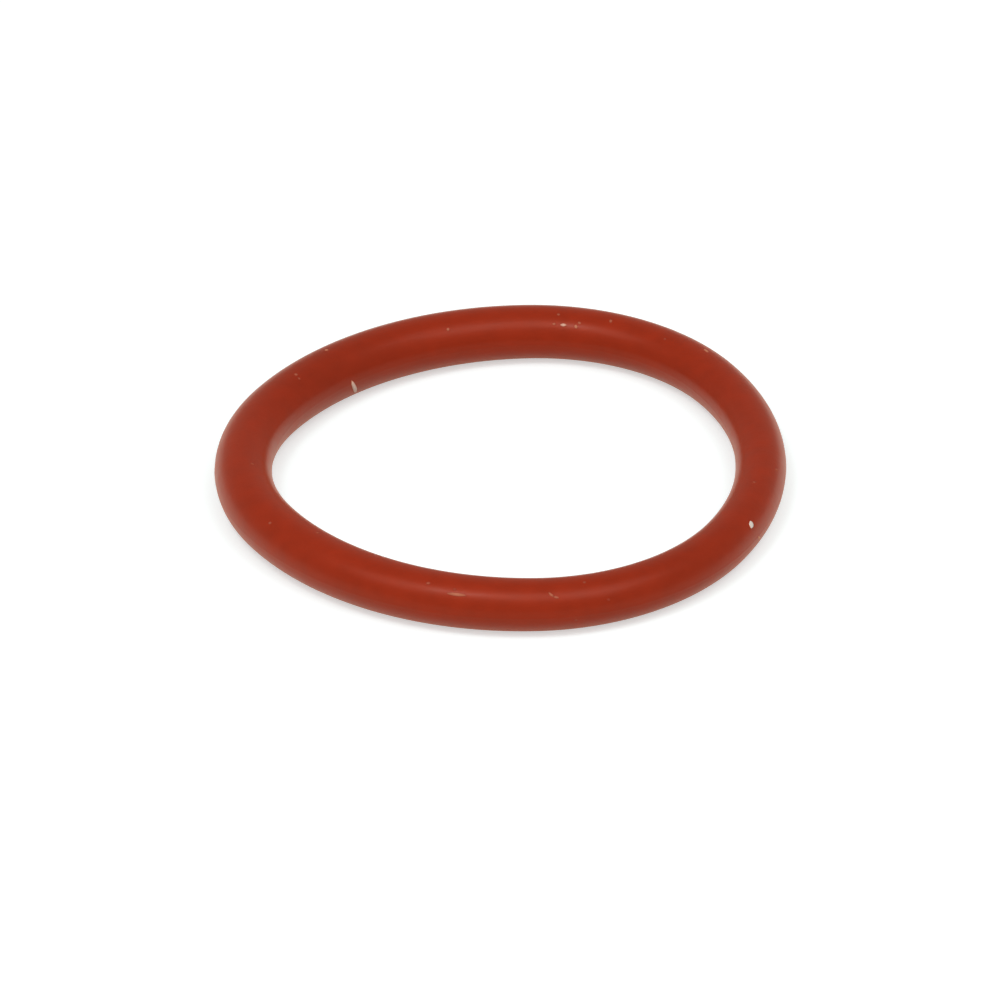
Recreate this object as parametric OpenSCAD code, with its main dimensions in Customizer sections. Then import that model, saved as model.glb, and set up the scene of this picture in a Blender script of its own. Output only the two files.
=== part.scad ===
// Silicone o-ring: one moulded ring of round section, as it lies free on a table.
// Millimetres, +Z up. The origin is under the middle of the ring, in the plane that it lies on.

/* [Ring] */
// Inside diameter of the free ring, the same across it in every direction
inner_d = 30; // [20:0.1:120]
// Diameter of the round section
section_d = 3.5; // [1.5:0.1:6]

/* [Lie of the free ring] */
// How far the limp ring lies out of round, in whole steps: each makes its three lobes 0.045 deeper
lobe_steps = 9; // [1:1:14]

/* [Parting line] */
// How far the trimmed flash stands out of the section
flash_h = 0.03; // [0.01:0.01:0.08]
// Diameter of the rounded bead that the flash leaves
flash_d = 0.16; // [0.12:0.01:0.3]

/* [Hidden] */
section_fn = 96;
bead_fn = 24;
ring_fn = 180;

// Radius of the line that the middle of the section would follow in a true circle
core_r = (inner_d + section_d) / 2;
// Height of the parting line, which is also the middle of the section
parting_z = section_d / 2;

// The free ring has the same width in every direction. It follows six arcs that meet with no
// corner, and they turn about the corners of a triangle with equal sides: a tight arc at each
// lobe, and a flatter one across from it. For each step of the lobes, half of the triangle's
// side and its height are these round numbers, true to a ten-millionth, so the arcs meet exactly.
half_side_step = 0.2911;
height_step = 0.5042;
half_side = round(lobe_steps) * half_side_step;
height = round(lobe_steps) * height_step;
lobe_r = core_r - half_side;
flat_r = core_r + half_side;

// Corners of the triangle, each with the direction that its lobe faces. They are placed so
// that the middle of the ring's outline is over the origin.
CORNERS = [
    [-half_side, 0, 180],
    [height - half_side, half_side, 60],
    [height - half_side, -half_side, 300]
];
arc_angle = 60;

// Round section with the bead of trimmed flash on its inner and its outer side
module moulded_section() {
    circle(d = section_d, $fn = section_fn);
    for (side = [-1, 1])
        translate([side * (section_d / 2 + flash_h - flash_d / 2), 0])
            circle(d = flash_d, $fn = bead_fn);
}

// One arc of the ring about its own centre, with the middle of the arc in the given direction
module arc_of_ring(radius, facing) {
    rotate_extrude(angle = arc_angle, start = facing - arc_angle / 2, $fn = ring_fn)
        translate([radius, 0])
            moulded_section();
}

module o_ring() {
    color([0.588, 0.169, 0.098])
        for (corner = CORNERS)
            translate([corner[0], corner[1], parting_z]) {
                arc_of_ring(lobe_r, corner[2]);
                arc_of_ring(flat_r, corner[2] - 180);
            }
}

o_ring();
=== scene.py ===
import math
import random

import bmesh
import bpy
from mathutils import Matrix, Vector
from mathutils.bvhtree import BVHTree


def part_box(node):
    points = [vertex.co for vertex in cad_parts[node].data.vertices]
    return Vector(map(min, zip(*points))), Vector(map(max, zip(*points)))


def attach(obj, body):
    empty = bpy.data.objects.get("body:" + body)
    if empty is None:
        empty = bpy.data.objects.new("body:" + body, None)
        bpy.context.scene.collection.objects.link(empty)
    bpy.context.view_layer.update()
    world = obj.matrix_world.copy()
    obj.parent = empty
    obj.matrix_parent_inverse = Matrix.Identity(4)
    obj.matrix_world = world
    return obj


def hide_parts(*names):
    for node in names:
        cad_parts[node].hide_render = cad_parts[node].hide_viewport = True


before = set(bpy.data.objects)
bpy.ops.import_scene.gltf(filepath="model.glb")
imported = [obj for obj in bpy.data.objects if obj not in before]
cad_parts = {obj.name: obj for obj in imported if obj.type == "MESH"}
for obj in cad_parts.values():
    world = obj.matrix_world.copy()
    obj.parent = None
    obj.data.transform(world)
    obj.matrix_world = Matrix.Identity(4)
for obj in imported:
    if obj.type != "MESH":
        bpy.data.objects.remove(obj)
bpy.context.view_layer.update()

# Camera
# A long lens, 500 mm away and 32 degrees above the table, looks at a point a little in front of
# the ring's middle. The camera is tipped by a degree or so, as the photograph is.
CAMERA_DISTANCE = 0.500
CAMERA_HEIGHT_DEG = 31.9
CAMERA_TIP_DEG = -1.3
CAMERA_LENS_MM = 280.0
SENSOR_WIDTH_MM = 36.0
NEAREST_SEEN = 0.01
FARTHEST_SEEN = 10.0
LOOKED_AT = Vector((-0.00018, -0.00432, 0.00175))

camera_data = bpy.data.cameras.new("camera")
camera_data.lens = CAMERA_LENS_MM
camera_data.sensor_width = SENSOR_WIDTH_MM
camera_data.clip_start = NEAREST_SEEN
camera_data.clip_end = FARTHEST_SEEN
camera = bpy.data.objects.new("camera", camera_data)
bpy.context.scene.collection.objects.link(camera)
bpy.context.scene.camera = camera

height_angle = math.radians(CAMERA_HEIGHT_DEG)
towards_camera = Vector((0, -math.cos(height_angle), math.sin(height_angle)))
camera.location = LOOKED_AT + CAMERA_DISTANCE * towards_camera
level_turn = (-towards_camera).to_track_quat("-Z", "Y").to_matrix()
camera_turn = level_turn @ Matrix.Rotation(math.radians(CAMERA_TIP_DEG), 3, "Z")
camera.rotation_euler = camera_turn.to_euler()

# The ring
# One moulded ring of silicone rubber, pressed in a two-part mould, so a fine line of trimmed
# flash runs round its inside and its outside. It is limp, so its line follows six arcs that meet
# with no corner: three tight ones at its lobes, and a flatter one across from each. The flash may
# stand 0.03 mm out, and on this ring it is trimmed closer, so that it hardly shows.
FLASH_HEIGHT = 0.00003
FLASH_LEFT = 0.000012
LOBE_STEPS = 9
HALF_SIDE_STEP = 0.0002911
ARC_DEG = 60
SECTION_STEPS = 128
ARC_STEPS = 64
SEAM_GAP = 1e-6
# A point of the section this far out, as a share of its radius, is on the parting line.
PARTING_SHARE = 0.9999

ring_low, ring_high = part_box("o_ring")
section_r = (ring_high.z - ring_low.z) / 2
core_r = ring_high.x - FLASH_HEIGHT - section_r
half_side = LOBE_STEPS * HALF_SIDE_STEP
right_x = half_side * (math.sqrt(3) - 1)
ARC_CENTRES = [(-half_side, 0, 0), (right_x, half_side, 0), (right_x, -half_side, 0)]

# In the photograph the section reads a little thicker at the back left than at the front right.
SECTION_SWING = 0.07
THICKEST_DEG = 154.0

# Round the ring the red is made a little lighter or darker in patches: each patch has a
# direction, seen from above, a reach in degrees, and how much lighter or darker the red is there.
RING_TONE_PATCHES = [(138, 22, -0.13), (226, 24, 0.02), (308, 22, -0.08)]


def ring_tone_at(turn_deg):
    tone = 1.0
    for direction, reach, change in RING_TONE_PATCHES:
        off = (turn_deg - direction + 180) % 360 - 180
        tone += change * math.exp(-((off / reach) ** 2))
    return tone


ring_bm = bmesh.new()
bmesh.ops.create_circle(ring_bm, cap_ends=False, segments=SECTION_STEPS, radius=section_r)
upright = Matrix.Rotation(math.radians(90), 3, "X")
bmesh.ops.rotate(ring_bm, verts=ring_bm.verts[:], matrix=upright)
for vert in ring_bm.verts:
    if abs(vert.co.x) > section_r * PARTING_SHARE:
        vert.co.x += math.copysign(FLASH_LEFT, vert.co.x)
first_place = Vector((core_r + half_side, 0, section_r))
bmesh.ops.translate(ring_bm, verts=ring_bm.verts[:], vec=first_place)
first_turn = Matrix.Rotation(math.radians(-ARC_DEG / 2), 3, "Z")
bmesh.ops.rotate(ring_bm, verts=ring_bm.verts[:], matrix=first_turn)
bmesh.ops.translate(ring_bm, verts=ring_bm.verts[:], vec=ARC_CENTRES[0])
arc_end = ring_bm.verts[:] + ring_bm.edges[:]
for arc_centre in ARC_CENTRES * 2:
    arc = bmesh.ops.spin(
        ring_bm, geom=arc_end, cent=arc_centre, axis=(0, 0, 1), angle=math.radians(ARC_DEG),
        steps=ARC_STEPS, use_merge=False, use_duplicate=False,
    )
    arc_end = arc["geom_last"]
bmesh.ops.remove_doubles(ring_bm, verts=ring_bm.verts[:], dist=SEAM_GAP)
bmesh.ops.recalc_face_normals(ring_bm, faces=ring_bm.faces[:])
ring_bm.normal_update()
# Each corner keeps how much lighter or darker the red is made there, by the patches above.
ring_tone = ring_bm.verts.layers.float.new("ring_tone")
swells = []
for vert in ring_bm.verts:
    turn = math.atan2(vert.co.y, vert.co.x)
    vert[ring_tone] = ring_tone_at(math.degrees(turn))
    swells.append(section_r * SECTION_SWING * math.cos(turn - math.radians(THICKEST_DEG)))
for vert, swell in zip(ring_bm.verts, swells):
    vert.co += swell * vert.normal + Vector((0, 0, swell))

# Spinning and merging leave the faces in an order that changes from run to run. They are put in
# the order of their corners, since the dust and painted glints laid on them would change with it.
ring_bm.verts.index_update()
places = [vert.co[:] for vert in ring_bm.verts]
tones = [vert[ring_tone] for vert in ring_bm.verts]
faces = []
for face in ring_bm.faces:
    corners = [vert.index for vert in face.verts]
    lowest = corners.index(min(corners))
    faces.append(corners[lowest:] + corners[:lowest])
faces.sort()
ring_bm.free()
ring_surface = BVHTree.FromPolygons(places, faces)
ring_mesh = bpy.data.meshes.new("silicone_ring")
ring_mesh.from_pydata(places, [], faces, shade_flat=False)
ring_mesh.attributes.new("ring_tone", "FLOAT", "POINT").data.foreach_set("value", tones)
ring = bpy.data.objects.new("silicone_ring", ring_mesh)
bpy.context.scene.collection.objects.link(ring)


def linear(hex_colour):
    channels = [int(hex_colour[i:i + 2], 16) / 255 for i in (0, 2, 4)]
    return [c / 12.92 if c <= 0.04045 else ((c + 0.055) / 1.055) ** 2.4 for c in channels] + [1.0]


def add_node(tree, kind, links=(), **settings):
    """Adds a node, sets its inputs and properties by name, and links (socket, source) pairs."""
    node = tree.nodes.new(kind)
    for name, value in settings.items():
        if hasattr(node, name):
            setattr(node, name, value)
        else:
            node.inputs[name.replace("_", " ")].default_value = value
    for socket, source in links:
        tree.links.new(source, node.inputs[socket])
    return node


# Silicone rubber coloured with red iron oxide, satin from the mould: a deep brick red with a
# soft, low gloss, and a warm haze where it is seen at a glancing angle. The mould's fine finish
# gives it a grain of about 0.15 mm, and the pigment is mottled over a millimetre or so.
SILICONE_RED = linear("972508")
GLOSS_TINT = (1.0, 0.42, 0.30, 1.0)
HAZE_TINT = (1.0, 0.20, 0.07, 1.0)
GRAIN_M = 0.00015
GRAIN_HEIGHT = 0.000004
WAVE_M = 0.0008
WAVE_HEIGHT = 0.000008
MOTTLE_M = 0.0012
MOTTLE_DARK = 0.93
MOTTLE_LIGHT = 1.07
GLOSSIEST = 0.32
DULLEST = 0.48
# Nearly all of a noise texture lies between these two values.
NOISE_LOW = 0.3
NOISE_HIGH = 0.7

silicone = bpy.data.materials.new("moulded_silicone_rubber")
silicone.use_nodes = True
tree = silicone.node_tree
tree.nodes.clear()
place = add_node(tree, "ShaderNodeTexCoord").outputs["Object"]
mottle = add_node(
    tree, "ShaderNodeTexNoise", links=[("Vector", place)], Scale=1 / MOTTLE_M, Detail=3.0,
)
mottle_tone = add_node(
    tree, "ShaderNodeMapRange", links=[("Value", mottle.outputs["Fac"])],
    From_Min=NOISE_LOW, From_Max=NOISE_HIGH, To_Min=MOTTLE_DARK, To_Max=MOTTLE_LIGHT,
)
# The patches round the ring, where the red is made lighter or darker, read from the corners.
patches = add_node(tree, "ShaderNodeAttribute", attribute_name="ring_tone")
tone = add_node(
    tree, "ShaderNodeMath", operation="MULTIPLY",
    links=[(0, mottle_tone.outputs["Result"]), (1, patches.outputs["Fac"])],
)
colour = add_node(
    tree, "ShaderNodeVectorMath", operation="SCALE", Vector=SILICONE_RED[:3],
    links=[("Scale", tone.outputs[0])],
)
gloss = add_node(
    tree, "ShaderNodeMapRange", links=[("Value", mottle.outputs["Fac"])],
    To_Min=GLOSSIEST, To_Max=DULLEST,
)
grain = add_node(
    tree, "ShaderNodeTexNoise", links=[("Vector", place)], Scale=1 / GRAIN_M, Detail=2.0,
)
wave = add_node(
    tree, "ShaderNodeTexNoise", links=[("Vector", place)], Scale=1 / WAVE_M, Detail=1.0,
)
grain_bump = add_node(
    tree, "ShaderNodeBump", links=[("Height", grain.outputs["Fac"])], Distance=GRAIN_HEIGHT,
)
bump = add_node(
    tree, "ShaderNodeBump", Distance=WAVE_HEIGHT,
    links=[("Height", wave.outputs["Fac"]), ("Normal", grain_bump.outputs["Normal"])],
)
shader = add_node(
    tree, "ShaderNodeBsdfPrincipled", IOR=1.41, Specular_IOR_Level=0.65, Specular_Tint=GLOSS_TINT,
    Coat_Weight=0.18, Coat_Roughness=0.14, Coat_IOR=1.25,
    Sheen_Weight=0.28, Sheen_Roughness=0.55, Sheen_Tint=HAZE_TINT,
    links=[
        ("Base Color", colour.outputs["Vector"]),
        ("Roughness", gloss.outputs["Result"]),
        ("Normal", bump.outputs["Normal"]),
    ],
)
add_node(tree, "ShaderNodeOutputMaterial", links=[("Surface", shader.outputs["BSDF"])])
ring_mesh.materials.append(silicone)
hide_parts("o_ring")
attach(ring, "root")

# Lint, dust and painted glints
# A sliver of cotton lint, a few grains of white dust and many fainter ones cling to the rubber.
# Each lies where the photograph has it, pressed flat to the surface, and the sides that it
# doesn't show have grains of the same kind. Two flakes are painted highlights laid as dust: the
# glint of the small lamp on a pale grain at the back, and the hot core of its streak at the
# front.
IMAGE_WIDTH_PX = 1000
IMAGE_MIDDLE_PX = 500.0

# Place in the photograph in pixels, length and width in millimetres, turn in the picture, and
# shade, from 0 where the red shows through to 1 for white
SEEN_GRAINS_AND_GLINTS = [
    (354.4, 387.8, 0.94, 0.33, 71, 0.75),
    (751.0, 524.8, 0.48, 0.42, 95, 0.98),
    (758.9, 537.8, 0.26, 0.20, 60, 0.45),
    # This pale dust grain also carries the painted glint of the small lamp on it.
    (563.3, 325.0, 0.40, 0.20, 0, 0.65),
    (558.4, 314.4, 0.22, 0.22, 0, 0.12),
    (554.0, 324.0, 0.24, 0.18, 0, 0.17),
    (575.9, 326.6, 0.28, 0.20, 60, 0.30),
    (579.4, 322.9, 0.24, 0.18, 30, 0.16),
    (610.7, 321.1, 0.24, 0.22, 90, 0.14),
    (448.0, 329.4, 0.22, 0.22, 0, 0.20),
    (326.5, 350.0, 0.30, 0.26, 0, 0.28),
    (295.8, 374.5, 0.27, 0.27, 0, 0.13),
    (299.0, 378.5, 0.22, 0.18, 45, 0.09),
    (706.0, 350.5, 0.42, 0.26, 40, 0.28),
    (665.0, 339.0, 0.20, 0.18, 0, 0.06),
    (270.0, 523.0, 0.22, 0.22, 0, 0.09),
    (252.5, 464.0, 0.32, 0.24, 0, 0.08),
    (317.5, 533.0, 0.22, 0.18, 0, 0.13),
    (428.3, 583.2, 0.28, 0.22, 0, 0.09),
    (454.5, 589.2, 0.24, 0.18, 0, 0.05),
    # This long pale film is a painted highlight: the hot core of the small lamp's streak.
    (456.5, 594.4, 1.30, 0.24, 7, 0.20),
    (584.5, 582.3, 0.22, 0.20, 0, 0.07),
    (608.6, 599.7, 0.22, 0.18, 0, 0.03),
    (576.0, 620.0, 0.22, 0.18, 0, 0.05),
    (551.0, 594.6, 0.46, 0.17, 38, 0.17),
    (556.2, 597.3, 0.36, 0.17, 12, 0.15),
    (754.2, 482.2, 0.28, 0.24, 0, 0.08),
    (776.7, 469.7, 0.22, 0.20, 0, 0.12),
]

# Thickness as a share of the width, for the faintest film and for a white lump, the most that a
# grain on a steep side is drawn out to look its length, and how uneven a grain's edge is
FILM_THICKNESS = 0.05
LUMP_THICKNESS = 0.60
MOST_STRETCH = 1.8
UNEVEN_EDGE = (0.86, 1.12)
HIDDEN_GRAINS = 45
HIDDEN_LENGTHS = (0.00012, 0.00030)
HIDDEN_WIDTH_SHARE = 0.7
HIDDEN_LEAN = 0.2
HIDDEN_SHADES = (0.10, 0.15, 0.20, 0.60)
TURNED_AWAY = -0.15
LOWEST_DUST = 0.0004
grain_dice = random.Random(11)

dust_and_glint_bm = bmesh.new()
shade_layer = dust_and_glint_bm.verts.layers.float.new("shade")


def add_flake(centre, normal, along, length, width, shade):
    """Adds a flake of dust or painted glint, flat and bent to the surface, thin at its edge if
    faint.
    """
    along = (along - along.dot(normal) * normal).normalized()
    across = normal.cross(along)
    made = bmesh.ops.create_icosphere(dust_and_glint_bm, subdivisions=2, radius=0.5)
    for vert in made["verts"]:
        rough = grain_dice.uniform(*UNEVEN_EDGE)
        flat_place = centre + rough * (vert.co.x * length * along + vert.co.y * width * across)
        under, facing, _, _ = ring_surface.find_nearest(flat_place)
        vert[shade_layer] = shade * (2 * abs(vert.co.z)) ** (1 - shade)
        rise = vert.co.z * width * (FILM_THICKNESS + shade * (LUMP_THICKNESS - FILM_THICKNESS))
        vert.co = under + facing * rise


for pixel_x, pixel_y, length_mm, width_mm, turn_deg, shade in SEEN_GRAINS_AND_GLINTS:
    right_share = (pixel_x - IMAGE_MIDDLE_PX) / IMAGE_WIDTH_PX
    up_share = (IMAGE_MIDDLE_PX - pixel_y) / IMAGE_WIDTH_PX
    sight = camera_turn @ Vector((right_share, up_share, -CAMERA_LENS_MM / SENSOR_WIDTH_MM))
    hit, hit_normal, _, _ = ring_surface.ray_cast(camera.location, sight.normalized())
    turn = math.radians(turn_deg)
    drawn = camera_turn @ Vector((math.cos(turn), -math.sin(turn), 0))
    along = drawn - sight * (drawn.dot(hit_normal) / sight.dot(hit_normal))
    length_m = min(along.length, MOST_STRETCH) * length_mm / 1000
    add_flake(hit, hit_normal, along, length_m, width_mm / 1000, shade)
hidden_left = HIDDEN_GRAINS
while hidden_left > 0:
    turn = grain_dice.uniform(0, math.tau)
    lift = grain_dice.uniform(0, math.tau)
    out = core_r + section_r * math.cos(lift)
    height = section_r + section_r * math.sin(lift)
    start = Vector((out * math.cos(turn), out * math.sin(turn), height))
    spot, spot_normal, _, _ = ring_surface.find_nearest(start)
    length = grain_dice.uniform(*HIDDEN_LENGTHS)
    along = Vector((grain_dice.uniform(-1, 1), grain_dice.uniform(-1, 1), HIDDEN_LEAN))
    shade = grain_dice.choice(HIDDEN_SHADES)
    if spot_normal.dot(towards_camera) < TURNED_AWAY and spot.z > LOWEST_DUST:
        add_flake(spot, spot_normal, along, length, HIDDEN_WIDTH_SHARE * length, shade)
        hidden_left -= 1
bmesh.ops.recalc_face_normals(dust_and_glint_bm, faces=dust_and_glint_bm.faces[:])
for face in dust_and_glint_bm.faces:
    face.smooth = True
# One mesh holds the lint, the dust and the two painted glints.
dust_and_glint_mesh = bpy.data.meshes.new("lint_dust_and_painted_glints")
dust_and_glint_bm.to_mesh(dust_and_glint_mesh)
dust_and_glint_bm.free()
dust_and_glints = bpy.data.objects.new("lint_dust_and_painted_glints", dust_and_glint_mesh)
bpy.context.scene.collection.objects.link(dust_and_glints)

# Cotton lint and house dust: matt, and pale grey-white where it is thick. A thin film of it
# shows the red rubber through, so there it is only a lighter, duller red. The same colours paint
# the two glints that are laid as flakes, as a matt painted highlight.
THIN_DUST_AND_GLINT = linear("E09A78")
WHITE_DUST_AND_GLINT = linear("E4DCD6")
THIN_SHADE = 0.4

dust_and_glint_material = bpy.data.materials.new("cotton_lint_dust_and_painted_glints")
dust_and_glint_material.use_nodes = True
tree = dust_and_glint_material.node_tree
tree.nodes.clear()
thickness = add_node(tree, "ShaderNodeAttribute", attribute_name="shade")
dust_and_glint_colour = add_node(tree, "ShaderNodeValToRGB", links=[("Fac", thickness.outputs["Fac"])])
dust_and_glint_stops = dust_and_glint_colour.color_ramp.elements
dust_and_glint_stops[0].color = SILICONE_RED
dust_and_glint_stops[1].color = WHITE_DUST_AND_GLINT
dust_and_glint_stops.new(THIN_SHADE).color = THIN_DUST_AND_GLINT
shader = add_node(
    tree, "ShaderNodeBsdfPrincipled", Roughness=0.9, IOR=1.45,
    links=[("Base Color", dust_and_glint_colour.outputs["Color"])],
)
add_node(tree, "ShaderNodeOutputMaterial", links=[("Surface", shader.outputs["BSDF"])])
dust_and_glint_mesh.materials.append(dust_and_glint_material)
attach(dust_and_glints, "root")

# Table and light
# A plain white table top that runs out of sight. A wide soft lamp hangs above the camera, with a
# smaller, brighter one beside it on the left and a weak one on the right. The white room fills
# the shadows, and it is brighter behind the camera than behind the table.
TABLE_REACH = 3.0
table_bm = bmesh.new()
bmesh.ops.create_grid(table_bm, x_segments=1, y_segments=1, size=TABLE_REACH)
table_mesh = bpy.data.meshes.new("table_top")
table_bm.to_mesh(table_mesh)
table_bm.free()
table = bpy.data.objects.new("table_top", table_mesh)
bpy.context.scene.collection.objects.link(table)

TABLE_DIFFUSE = linear("CFDEE1")
TABLE_GLOW = 0.54
GLOW_ON_GLOSS = linear("FFEACE")
GLOW_SEEN = linear("FFFFFF")
# Where a Mix node has its two colours among its inputs
FIRST_COLOUR = 6
SECOND_COLOUR = 7

laminate = bpy.data.materials.new("white_table_top")
laminate.use_nodes = True
tree = laminate.node_tree
tree.nodes.clear()
rays = add_node(tree, "ShaderNodeLightPath")
seen = add_node(
    tree, "ShaderNodeMath", operation="MAXIMUM",
    links=[(0, rays.outputs["Is Camera Ray"]), (1, rays.outputs["Is Glossy Ray"])],
)
glow_strength = add_node(
    tree, "ShaderNodeMath", operation="MULTIPLY", links=[(0, seen.outputs[0])],
)
glow_strength.inputs[1].default_value = TABLE_GLOW
glow_colour = add_node(
    tree, "ShaderNodeMix", data_type="RGBA", links=[(0, rays.outputs["Is Camera Ray"])],
)
glow_colour.inputs[FIRST_COLOUR].default_value = GLOW_ON_GLOSS
glow_colour.inputs[SECOND_COLOUR].default_value = GLOW_SEEN
glow = add_node(
    tree, "ShaderNodeEmission",
    links=[("Color", glow_colour.outputs[2]), ("Strength", glow_strength.outputs[0])],
)
paint = add_node(tree, "ShaderNodeBsdfDiffuse", Color=TABLE_DIFFUSE)
both = add_node(tree, "ShaderNodeAddShader", links=[(0, paint.outputs[0]), (1, glow.outputs[0])])
add_node(tree, "ShaderNodeOutputMaterial", links=[("Surface", both.outputs[0])])
table_mesh.materials.append(laminate)

ROOM_BEHIND_CAMERA = 0.58
ROOM_BEHIND_TABLE = 0.36
ROOM_BLEND = 0.6
ROOM_WHITE = linear("FFF6EA")
world = bpy.data.worlds.new("studio")
bpy.context.scene.world = world
world.use_nodes = True
tree = world.node_tree
tree.nodes.clear()
way = add_node(tree, "ShaderNodeTexCoord").outputs["Generated"]
split = add_node(tree, "ShaderNodeSeparateXYZ", links=[("Vector", way)])
room = add_node(
    tree, "ShaderNodeMapRange", links=[("Value", split.outputs["Y"])],
    From_Min=-ROOM_BLEND, From_Max=ROOM_BLEND,
    To_Min=ROOM_BEHIND_CAMERA, To_Max=ROOM_BEHIND_TABLE,
)
rays = add_node(tree, "ShaderNodeLightPath")
strength = add_node(
    tree, "ShaderNodeMath", operation="MAXIMUM",
    links=[(0, room.outputs["Result"]), (1, rays.outputs["Is Camera Ray"])],
)
sky = add_node(
    tree, "ShaderNodeBackground", Color=ROOM_WHITE, links=[("Strength", strength.outputs[0])],
)
add_node(tree, "ShaderNodeOutputWorld", links=[("Surface", sky.outputs[0])])

LAMP_DISTANCE = 0.60


def add_lamp(name, width, depth, power, turn_deg, height_deg):
    """Hangs a soft lamp that faces the ring, its turn counted to the right from the camera."""
    lamp_data = bpy.data.lights.new(name, "AREA")
    lamp_data.shape = "RECTANGLE"
    lamp_data.size = width
    lamp_data.size_y = depth
    lamp_data.energy = power
    lamp = bpy.data.objects.new(name, lamp_data)
    bpy.context.scene.collection.objects.link(lamp)
    turn = math.radians(turn_deg)
    height = math.radians(height_deg)
    towards_lamp = Vector((
        math.sin(turn) * math.cos(height), -math.cos(turn) * math.cos(height), math.sin(height),
    ))
    lamp.location = LAMP_DISTANCE * towards_lamp
    lamp.rotation_euler = (-towards_lamp).to_track_quat("-Z", "Y").to_euler()


add_lamp("wide_soft_lamp", width=0.90, depth=0.30, power=1.3, turn_deg=-12, height_deg=64)
add_lamp("small_bright_lamp", width=0.12, depth=0.12, power=0.42, turn_deg=-36, height_deg=63)
add_lamp("right_hand_lamp", width=0.34, depth=0.24, power=0.34, turn_deg=56, height_deg=64)

bpy.context.scene.view_settings.view_transform = "Standard"
